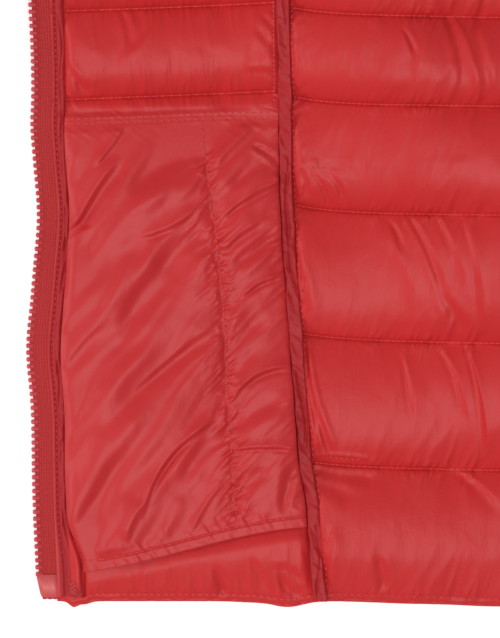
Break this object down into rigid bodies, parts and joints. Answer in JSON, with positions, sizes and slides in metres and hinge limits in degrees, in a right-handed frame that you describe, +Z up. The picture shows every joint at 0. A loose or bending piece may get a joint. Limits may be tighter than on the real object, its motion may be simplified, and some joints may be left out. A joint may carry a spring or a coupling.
{
  "type": "quilted hooded jacket",
  "caption": "Padded hooded jacket with an open-ended zip, unzipped and laid open on its back, both fronts turned out to show the quilted inside and pocket bags.",
  "frame": {"origin": "on the floor under the middle of the laid jacket's overall box", "axes": "+X towards the wearer's left sleeve, +Y from the hem to the hood, +Z up from the floor that the back lies on"},
  "size_m": [1.5974, 0.954, 0.0391],
  "materials": {
    "quilted_shell": "soft sheen of padded nylon",
    "pocket_lining": "smooth nylon with a soft sheen",
    "binding": "folded nylon binding",
    "zip_tape": "matt woven tape",
    "zip_plastic": "slightly translucent moulded plastic"
  },
  "bodies": {
    "root": {"back": "quilted_shell", "front_panel_right": "quilted_shell", "front_panel_left": "quilted_shell", "side_panel_right": "quilted_shell", "side_panel_left": "quilted_shell", "folded_side_right": "quilted_shell", "folded_side_left": "quilted_shell", "sleeve_right": "quilted_shell", "sleeve_left": "quilted_shell", "cuff_right": "binding", "cuff_left": "binding", "hood_centre": "quilted_shell", "hood_side_right": "quilted_shell", "hood_side_left": "quilted_shell", "pocket_bag_right": "pocket_lining", "pocket_bag_left": "pocket_lining", "zip_tape_right": "zip_tape", "zip_tape_left": "zip_tape", "edge_binding_right": "binding", "edge_binding_left": "binding", "seam_binding_right": "binding", "seam_binding_left": "binding", "zip_pin": "zip_plastic", "zip_box": "zip_plastic", "zip_slider": "zip_plastic", "zip_pull_ribbon": "binding"}
  },
  "joints": []
}
